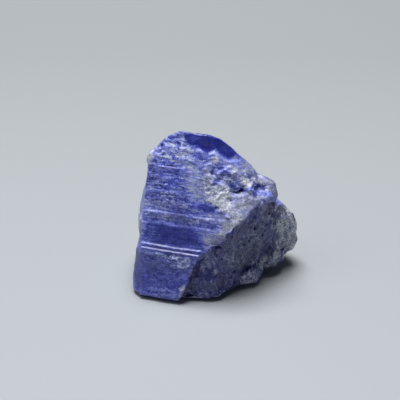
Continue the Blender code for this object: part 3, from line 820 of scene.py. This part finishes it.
# Where the growth lines are short, bent and strong.
RIPPLED = (
    (-3.7, 20.2, 3.6, 2.4, 15, 1.0), (-4.2, 16.4, 3.2, 1.8, -5, 0.45), (-4.6, 13.9, 3.4, 1.2, -8, 0.7),
    (-3.0, 11.0, 5.4, 0.6, -8, 0.45), (-6.6, 15.0, 0.8, 4.0, 0, 0.6), (-3.6, 5.4, 3.8, 1.3, -9, 1.0),
    (-4.6, 1.3, 4.0, 1.0, -8, 0.55), (-5.0, 3.4, 3.6, 1.4, -8, 0.45),
)
add_mask("rippled", front * lit_side * ovals(flat, RIPPLED, 0.3 * warp))
print("shares:", {name: round(float(masks[name].mean()), 3) for name in ("grainy", "crust", "rippled")})

# %% Find the growth lines, treads, crests and hollows
FULL_CREST = 0.022                                # mm above or below the surroundings for the full mask
FIRST_CREST = 0.002                               # and for its first trace

face_gap = np.abs((points - FACE_POINT) @ FACE_OUT)
on_face = ramp(face_gap, 1.4, 0.6) * ramp(points[:, 2], FOOT_TOP, FACE_BOTTOM)
on_foot_face = 0.5 * ramp(points[:, 2], 2.6, 0.8) + 0.45
lined_front = front * lit_side * (1 - 0.8 * masks["grainy"]) * np.maximum(on_face, on_foot_face)
add_mask("striated", lined_front + 0.7 * (1 - seen) * grown)
proud = edge_height(stone.data, points, normals, 2)
add_mask("proud", ramp(proud, FIRST_CREST, FULL_CREST))
add_mask("hollow", ramp(-proud, FIRST_CREST, FULL_CREST))
# Treads face up, towards the overhead light, and get a painted highlight; risers face down and get painted
# shade.
slope_up = (normals[:, 2] - FACE_OUT[2]) * on_face * front * lit_side
add_mask("tread_highlight", ramp(slope_up, 0.08, 0.4))
add_mask("riser_shade", ramp(-slope_up, 0.12, 0.45))
print("share of the skin:", {name: round(float(v.mean()), 3) for name, v in masks.items()})

# %% Leave the grainy triangles flat and put the stone back in its place
GRAINY_FROM = 0.4                                 # triangles grainier than this catch the light one by one

rough_skin = masks["grainy"] * lit_side
corners_of_faces = np.zeros(len(stone.data.polygons) * 3, int)
stone.data.polygons.foreach_get("vertices", corners_of_faces)
soft_faces = rough_skin[corners_of_faces.reshape(-1, 3)].mean(1) < GRAINY_FROM
stone.data.polygons.foreach_set("use_smooth", soft_faces)
stone.data.transform(foot_to_packed)
stone.data.materials.clear()
print("flat triangles:", int((~soft_faces).sum()))

# %% [markdown]
# ## Node helpers
#
# The material is made of nodes. These few helpers add a node, feed it and wire it, so that each effect
# below reads as a short recipe.

# %% Helpers for shader nodes
def add_node(tree, kind, inputs=None, **settings):
    """A node of this kind with its settings; inputs are values, or outputs to wire in."""
    node = tree.nodes.new("ShaderNode" + kind)
    for name, value in settings.items():
        setattr(node, name, value)
    for key, value in (inputs or {}).items():
        socket = node.inputs[key]
        if isinstance(value, bpy.types.NodeSocket):
            tree.links.new(value, socket)
        else:
            socket.default_value = value
    return node


def maths(tree, operation, first, second):
    """One sum on values or outputs."""
    return add_node(tree, "Math", {0: first, 1: second}, operation=operation).outputs[0]


def between(tree, value, low, high, out_low=0.0, out_high=1.0):
    """The value moved from one range to another, held at both ends."""
    inputs = {"Value": value, "From Min": low, "From Max": high, "To Min": out_low, "To Max": out_high}
    return add_node(tree, "MapRange", inputs).outputs["Result"]


def blend(tree, share, first, second):
    """The first colour where share is 0 and the second where it is 1."""
    return add_node(tree, "Mix", {0: share, 6: first, 7: second}, data_type="RGBA").outputs[2]


def scaled(tree, vector, factors):
    """The vector with each part multiplied."""
    return add_node(tree, "VectorMath", {0: vector, 1: factors}, operation="MULTIPLY").outputs[0]


def new_group(name, inputs, outputs):
    """An empty node group with named inputs (name, kind, value) and outputs (name, kind)."""
    group = bpy.data.node_groups.new(name, "ShaderNodeTree")
    for label, kind, value in inputs:
        socket = group.interface.new_socket(label, in_out="INPUT", socket_type="NodeSocket" + kind)
        if value is not None:
            socket.default_value = value
    for label, kind in outputs:
        group.interface.new_socket(label, in_out="OUTPUT", socket_type="NodeSocket" + kind)
    return group, group.nodes.new("NodeGroupInput").outputs, group.nodes.new("NodeGroupOutput").inputs


def place(tree, group, inputs):
    """The outputs of a group put into this tree with its own values."""
    return add_node(tree, "Group", inputs, node_tree=group).outputs


def colour_scale(tree, value, stops):
    """The colour at this value on a scale of (position, colour) stops."""
    node = add_node(tree, "ValToRGB", {"Fac": value})
    scale = node.color_ramp
    for number, (position, colour) in enumerate(stops):
        stop = scale.elements[number] if number < 2 else scale.elements.new(position)
        stop.position = position
        stop.color = (*colour, 1)
    return node.outputs["Color"]


# %% [markdown]
# ## Growth lines
#
# Between the carved ledges run far finer lines, closer than the mesh can hold. Noise that is squeezed
# in height and drawn out sideways gives such lines. They lighten the colour a little and lift the
# surface a few hundredths of a millimetre.

# %% Growth lines as a node group
growth_lines, given, made = new_group(
    "growth lines",
    [("Place", "Vector", None), ("Spacing", "Float", 0.25), ("Run", "Float", 3.0), ("Waver", "Float", 0.2)],
    [("Lines", "Float")])
drift = add_node(growth_lines, "TexNoise", {"Vector": given["Place"], "Scale": 0.9, "Detail": 2.0})
wander = maths(growth_lines, "SUBTRACT", drift.outputs["Fac"], 0.5)
sway = maths(growth_lines, "MULTIPLY", wander, given["Waver"])
lifted = add_node(growth_lines, "CombineXYZ", {2: sway})
swayed = add_node(growth_lines, "VectorMath", {0: given["Place"], 1: lifted.outputs[0]}, operation="ADD")
sideways = maths(growth_lines, "DIVIDE", 1.0, given["Run"])
upwards = maths(growth_lines, "DIVIDE", 1.0, given["Spacing"])
squeeze = add_node(growth_lines, "CombineXYZ", {0: sideways, 1: sideways, 2: upwards})
drawn = scaled(growth_lines, swayed.outputs[0], squeeze.outputs[0])
lines = add_node(growth_lines, "TexNoise", {"Vector": drawn, "Scale": 1.0, "Detail": 3.0, "Roughness": 0.6})
growth_lines.links.new(between(growth_lines, lines.outputs["Fac"], 0.35, 0.65), made["Lines"])


def lines_along(tree, spot, spacing, run, waver):
    """Growth lines this far apart and this many mm long, wavering by so many mm."""
    inputs = {"Place": spot, "Spacing": spacing, "Run": run, "Waver": waver}
    return place(tree, growth_lines, inputs)["Lines"]


print("nodes in the growth lines:", len(growth_lines.nodes))

# %% [markdown]
# ## Sugary grain
#
# Under a lens the frosted break is a heap of tiny glassy grains, each facing its own way, and a few
# happen to flash. A Voronoi texture gives every grain one random colour. Read as a direction it turns
# the grain's normal, and read as a number it makes some grains whiter than others. The material also
# paints the whitest few pale where a cloud allows, as painted glints.

# %% Grain as a node group
sugar_grain, given, made = new_group(
    "sugary grain",
    [("Place", "Vector", None), ("Size", "Float", 0.2), ("Tilt", "Float", 0.5)],
    [("Whiteness", "Float"), ("Normal", "Vector")])
per_mm = maths(sugar_grain, "DIVIDE", 1.0, given["Size"])
cells = add_node(sugar_grain, "TexVoronoi", {"Vector": given["Place"], "Scale": per_mm, "Randomness": 1.0})
centred = add_node(sugar_grain, "VectorMath", {0: cells.outputs["Color"], 1: (0.5, 0.5, 0.5)},
                   operation="SUBTRACT")
tilted = add_node(sugar_grain, "VectorMath", {0: centred.outputs[0], "Scale": given["Tilt"]},
                  operation="SCALE")
skin_normal = add_node(sugar_grain, "NewGeometry").outputs["Normal"]
turned = add_node(sugar_grain, "VectorMath", {0: skin_normal, 1: tilted.outputs[0]}, operation="ADD")
unit = add_node(sugar_grain, "VectorMath", {0: turned.outputs[0]}, operation="NORMALIZE")
parts = add_node(sugar_grain, "SeparateXYZ", {0: cells.outputs["Color"]})
sugar_grain.links.new(parts.outputs[0], made["Whiteness"])
sugar_grain.links.new(unit.outputs[0], made["Normal"])
print("nodes in the sugary grain:", len(sugar_grain.nodes))

# %% [markdown]
# ## Cloud
#
# Colour in a natural crystal is never even: it gathers in soft clouds. This group gives one mask of
# clouds with finer ones inside.

# %% Cloud as a node group
cloud, given, made = new_group(
    "cloud",
    [("Place", "Vector", None), ("Size", "Float", 3.0), ("Detail", "Float", 3.0), ("Low", "Float", 0.4),
     ("High", "Float", 0.6)],
    [("Cloud", "Float")])
per_mm = maths(cloud, "DIVIDE", 1.0, given["Size"])
puffs = add_node(cloud, "TexNoise", {
    "Vector": given["Place"], "Scale": per_mm, "Detail": given["Detail"], "Roughness": 0.6})
cloud.links.new(between(cloud, puffs.outputs["Fac"], given["Low"], given["High"]), made["Cloud"])


def clouds(tree, spot, size, detail=3.0, low=0.3, high=0.7):
    """A mask of clouds of this size, from low to high in the noise behind them."""
    inputs = {"Place": spot, "Size": size, "Detail": detail, "Low": low, "High": high}
    return place(tree, cloud, inputs)["Cloud"]


print("node groups:", [group.name for group in bpy.data.node_groups])

# %% [markdown]
# ## Tanzanite
#
# One material serves the whole stone, because it is one mineral: the break looks different from the
# window only through its colour, its roughness and its grain. Light passes into it by plain
# transmission with the mineral's own refraction, and a blue absorption inside makes thick parts deep
# and thin edges pale. The masks then lay haze, frost, grey and crust over the clear blue, together with
# painted highlights and glints, and painted shade on risers, pits and hollows.

# %% The four colour scales
# From clear to white: clean milk, sugary milk, and the dull break where it is grey and violet.
CLEAN = ((0.0, (0.005, 0.013, 0.250)), (1.0, (0.860, 0.920, 1.000)), (0.20, (0.032, 0.052, 0.450)),
         (0.42, (0.124, 0.172, 0.920)), (0.68, (0.330, 0.395, 1.000)), (0.86, (0.560, 0.630, 1.000)))
SUGARED = ((0.0, (0.016, 0.024, 0.195)), (1.0, (0.810, 0.850, 0.940)), (0.20, (0.074, 0.088, 0.280)),
           (0.42, (0.175, 0.193, 0.360)), (0.68, (0.370, 0.394, 0.520)), (0.86, (0.565, 0.602, 0.755)))
DULL = ((0.0, (0.006, 0.010, 0.110)), (1.0, (0.680, 0.720, 0.750)), (0.30, (0.050, 0.062, 0.220)),
        (0.60, (0.158, 0.178, 0.320)), (0.85, (0.400, 0.430, 0.540)))
VIOLET = ((0.0, (0.007, 0.009, 0.150)), (1.0, (0.700, 0.680, 0.900)), (0.30, (0.055, 0.060, 0.300)),
          (0.60, (0.175, 0.180, 0.430)))
RISER_SHADE_BLUE = (0.008, 0.016, 0.270, 1)
WINDOW_DEEP = (0.002, 0.005, 0.280, 1)
WINDOW_HAZE = (0.024, 0.036, 0.360, 1)
FROST_AND_HIGHLIGHT_LAVENDER = (0.380, 0.410, 0.860, 1)
PALE_CRUST = (0.480, 0.510, 0.480, 1)
PAINTED_GLINT = (0.500, 0.530, 0.700, 1)
PIT_SHADE_BLUE = (0.022, 0.026, 0.160, 1)
print("stops in each scale:", [len(scale) for scale in (CLEAN, SUGARED, DULL, VIOLET)])

# %% The stone's material: what varies
SMEAR_SQUEEZE = (1.9, 1.6, 0.7)                   # smears are narrow and tall, and run with the splinters

tanzanite = bpy.data.materials.new("tanzanite")
tanzanite.use_nodes = True
tree = tanzanite.node_tree
shader = tree.nodes["Principled BSDF"]
output = tree.nodes["Material Output"]
object_place = add_node(tree, "TexCoord").outputs["Object"]
spot = scaled(tree, object_place, (1 / MM, 1 / MM, 1 / MM))


def mask(name):
    """The stored mask of this name."""
    return add_node(tree, "Attribute", attribute_name=name).outputs["Fac"]


def times(*values):
    """The product of some masks and numbers."""
    total = values[0]
    for value in values[1:]:
        total = maths(tree, "MULTIPLY", total, value)
    return total


def either_side(value, share):
    """The value taken as above or below its middle, times its share."""
    return times(maths(tree, "SUBTRACT", value, 0.5), share)


def added(*values):
    """The sum of some masks and numbers."""
    total = values[0]
    for value in values[1:]:
        total = maths(tree, "ADD", total, value)
    return total


fine_lines = lines_along(tree, spot, spacing=0.16, run=2.0, waver=0.25)
broad_lines = lines_along(tree, spot, spacing=0.5, run=3.0, waver=0.5)
ripples = lines_along(tree, spot, spacing=0.26, run=0.7, waver=1.8)
leaning = add_node(tree, "VectorRotate", {"Vector": spot, "Angle": SPLINTER_LEAN}, rotation_type="Y_AXIS")
upright = scaled(tree, leaning.outputs[0], SMEAR_SQUEEZE)
smears = clouds(tree, upright, size=1.1, detail=4.0, low=0.35, high=0.68)
small_cloud = clouds(tree, spot, size=0.6, detail=5.0)
wide_cloud = clouds(tree, spot, size=1.8)
grain = place(tree, sugar_grain, {"Place": spot, "Size": 0.22, "Tilt": 0.55})
fine_grain = place(tree, sugar_grain, {"Place": spot, "Size": 0.13, "Tilt": 0.8})

milk, sugar_mask, grainy = mask("milk"), mask("sugar"), mask("grainy")
striated, rippled = mask("striated"), mask("rippled")
dull, window_mask = mask("dull"), mask("window")
print("nodes so far:", len(tree.nodes))

# %% The stone's material: colour
calm = between(tree, milk, 0.1, 0.4, 0.35, 1.0)     # clear crystal shows less of everything
lined = times(striated, calm, between(tree, milk, 0.5, 0.7, 1.0, 0.35))
wavering = added(
    milk,
    either_side(fine_lines, times(lined, 0.52)),
    either_side(broad_lines, times(lined, 0.16)),
    either_side(ripples, times(rippled, 0.80)),
    either_side(small_cloud, times(calm, between(tree, grainy, 0, 1, 0.20, 0.40))),
    either_side(wide_cloud, times(calm, 0.20)),
    either_side(grain["Whiteness"], times(grainy, 0.30)),
    either_side(fine_grain["Whiteness"], times(calm, between(tree, grainy, 0, 1, 0.26, 0.30))),
    either_side(grain["Whiteness"], times(lined, 0.26)),
    either_side(smears, times(dull, 0.58)),
    either_side(fine_grain["Whiteness"], times(dull, 0.36)))
clean = colour_scale(tree, wavering, CLEAN)
sugared = colour_scale(tree, wavering, SUGARED)
violet = between(tree, sugar_mask, 0.1, 0.5, 0.85, 0.0)
dulled = blend(tree, violet, colour_scale(tree, wavering, DULL), colour_scale(tree, wavering, VIOLET))
colour = blend(tree, added(sugar_mask, either_side(small_cloud, 0.2)), clean, sugared)
colour = blend(tree, dull, colour, dulled)
# Painted shade on the risers, which face down under each growth ledge.
colour = blend(tree, times(mask("riser_shade"), 0.45), colour, RISER_SHADE_BLUE)
# Painted highlight on the treads of the growth lines, which face up.
colour = blend(tree, times(mask("tread_highlight"), 0.12), colour, FROST_AND_HIGHLIGHT_LAVENDER)
colour = blend(tree, times(mask("crust"), between(tree, small_cloud, 0, 1, 0.6, 0.95)), colour, PALE_CRUST)
# Painted shade in the tiny pits of the skin.
colour = blend(tree, times(mask("hollow"), 0.24), colour, PIT_SHADE_BLUE)
# Tiny edges turn pale lavender: partly frost, partly a painted highlight.
colour = blend(tree, times(mask("proud"), between(tree, dull, 0, 1, 0.14, 0.04)), colour, FROST_AND_HIGHLIGHT_LAVENDER)
# Painted glints: a few of the whitest grains are painted pale, as if they flashed.
painted_glints = times(between(tree, fine_grain["Whiteness"], 0.88, 0.96), between(tree, small_cloud, 0.5, 0.8))
colour = blend(tree, times(painted_glints, between(tree, dull, 0, 1, 0.20, 0.60)), colour, PAINTED_GLINT)
cloudy = between(tree, wide_cloud, 0, 1, 1.0, 0.82)
streaky = between(tree, fine_lines, 0.6, 1.0, 1.0, 0.9)
window_blue = blend(tree, smears, WINDOW_DEEP, WINDOW_HAZE)
colour = blend(tree, times(cloudy, streaky, window_mask), colour, window_blue)
tree.links.new(colour, shader.inputs["Base Color"])
print("nodes with the colour:", len(tree.nodes))

# %% The stone's material: gloss and relief
ZOISITE_IOR = 1.69
CLEARNESS = 0.15                                  # the share of light that passes in, past the haze
INSIDE_BLUE = (0.30, 0.34, 0.92, 1)
INSIDE_DENSITY = 180.0                            # per metre
LINE_RELIEF = 0.04 * MM
CLEAR_ROUGHNESS = (0.34, 0.48)                    # from cloud to cloud
GRAINY_ROUGHNESS = 0.6
BREAK_ROUGHNESS = 0.34                            # the dull break and the window have the same gloss
GRAIN_TURN = (0.06, 0.5)                          # how far grains turn the light: elsewhere, and on sugar

rough = between(tree, small_cloud, 0.0, 1.0, *CLEAR_ROUGHNESS)
rough = between(tree, grainy, 0.0, 1.0, rough, GRAINY_ROUGHNESS)
rough = between(tree, dull, 0.0, 1.0, rough, BREAK_ROUGHNESS)
rough = between(tree, window_mask, 0.0, 1.0, rough, BREAK_ROUGHNESS)
tree.links.new(rough, shader.inputs["Roughness"])

height = added(times(fine_lines, striated), times(ripples, rippled), times(small_cloud, 0.6))
bump = add_node(tree, "Bump", {"Height": height, "Strength": 0.35, "Distance": LINE_RELIEF})
grain_share = between(tree, grainy, 0.0, 1.0, *GRAIN_TURN)
grainy_normal = add_node(tree, "Mix", {0: grain_share, 4: bump.outputs[0], 5: fine_grain["Normal"]},
                         data_type="VECTOR")
tree.links.new(grainy_normal.outputs[1], shader.inputs["Normal"])

shader.inputs["IOR"].default_value = ZOISITE_IOR
shader.inputs["Transmission Weight"].default_value = CLEARNESS
shader.inputs["Metallic"].default_value = 0.0
inside = add_node(tree, "VolumeAbsorption", {"Color": INSIDE_BLUE, "Density": INSIDE_DENSITY})
tree.links.new(inside.outputs[0], output.inputs["Volume"])
stone.data.materials.append(tanzanite)

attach(stone, "root")
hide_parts("tanzanite_crystal")
print("nodes in the whole material:", len(tree.nodes))

# %% [markdown]
# ## Floor, light and camera
#
# The stone lies on plain pale paper. One large soft light hangs above and a little behind on the
# left, a weaker one fills from the left, and the sky adds an even glow, so the shadow is soft and
# keeps close to the stone. The camera looks down by thirty degrees with a long lens.

# %% The floor
FLOOR_HALF = 0.9                                  # metres, so that its edge is never in view
PAPER_LIGHT = (0.394, 0.420, 0.448, 1)
PAPER_SHADE = (0.386, 0.412, 0.440, 1)
PAPER_FAR_SHADE = (0.286, 0.304, 0.316, 1)              # painted shade: the paper is painted greyer towards the back, where the light falls off
FAR_FROM, FAR_TO = -0.05, 0.07                    # between these depths, in metres

corners = [(x * FLOOR_HALF, y * FLOOR_HALF, 0) for x, y in ((-1, -1), (1, -1), (1, 1), (-1, 1))]
floor_mesh = bpy.data.meshes.new("floor")
floor_mesh.from_pydata(corners, [], [(0, 1, 2, 3)])
floor = bpy.data.objects.new("floor", floor_mesh)
bpy.context.scene.collection.objects.link(floor)
paper = bpy.data.materials.new("pale paper")
paper.use_nodes = True
paper_tree = paper.node_tree
paper_shader = paper_tree.nodes["Principled BSDF"]
paper_place = add_node(paper_tree, "TexCoord").outputs["Object"]
tooth = clouds(paper_tree, paper_place, size=0.05)
depth_into = add_node(paper_tree, "SeparateXYZ", {0: paper_place}).outputs[1]
# Painted falloff of the light: the paper darkens towards the back.
further_shade = between(paper_tree, depth_into, FAR_FROM, FAR_TO)
paper_colour = blend(paper_tree, further_shade, blend(paper_tree, tooth, PAPER_SHADE, PAPER_LIGHT), PAPER_FAR_SHADE)
paper_tree.links.new(paper_colour, paper_shader.inputs["Base Color"])
paper_shader.inputs["Roughness"].default_value = 0.8
paper_shader.inputs["Specular IOR Level"].default_value = 0.2
floor_mesh.materials.append(paper)
print("floor, metres each way:", 2 * FLOOR_HALF)

# %% The lights
LOOK_AT = Vector((0.0, 6.75, 11.77))              # mm from the foot corner
SKY_COLOUR = (0.80, 0.84, 0.90, 1)
SKY_STRENGTH = 0.075


def soft_light(name, spot, size, watts, colour):
    """A square soft light at this spot, in mm from the foot corner, aimed at the stone."""
    lamp = bpy.data.lights.new(name, "AREA")
    lamp.size = size * MM
    lamp.energy = watts
    lamp.color = colour
    holder = bpy.data.objects.new(name, lamp)
    holder.location = foot_to_packed @ Vector(spot)
    holder.rotation_euler = (Vector(spot) - LOOK_AT).to_track_quat("Z", "Y").to_euler()
    bpy.context.scene.collection.objects.link(holder)


soft_light("overhead", (-16, 82, 335), 190, 1.86, (1.0, 1.0, 1.0))
soft_light("left", (-200, -70, 270), 200, 0.20, (0.97, 0.98, 1.0))
world = bpy.data.worlds.new("room")
world.use_nodes = True
sky = world.node_tree.nodes["Background"]
sky.inputs["Color"].default_value = SKY_COLOUR
sky.inputs["Strength"].default_value = SKY_STRENGTH
bpy.context.scene.world = world
bpy.context.scene.view_settings.view_transform = "Standard"
print("lights:", [lamp.name for lamp in bpy.data.lights])

# %% The camera
SENSOR = 36.0                                     # mm
VIEW_WIDTH = 54.0                                 # mm across the picture at the stone
DISTANCE = 260.0                                  # mm from the camera to the stone

look = Vector((0, math.cos(VIEW_SLOPE), -math.sin(VIEW_SLOPE)))
camera_data = bpy.data.cameras.new("camera")
camera_data.sensor_width = SENSOR
camera_data.lens = SENSOR * DISTANCE / VIEW_WIDTH
camera_data.clip_start = 1 * MM
camera_data.clip_end = 5.0
camera = bpy.data.objects.new("camera", camera_data)
camera.location = foot_to_packed @ (LOOK_AT - look * DISTANCE)
camera.rotation_euler = look.to_track_quat("-Z", "Y").to_euler()
bpy.context.scene.collection.objects.link(camera)
bpy.context.scene.camera = camera
print("lens, mm:", round(camera_data.lens, 1))
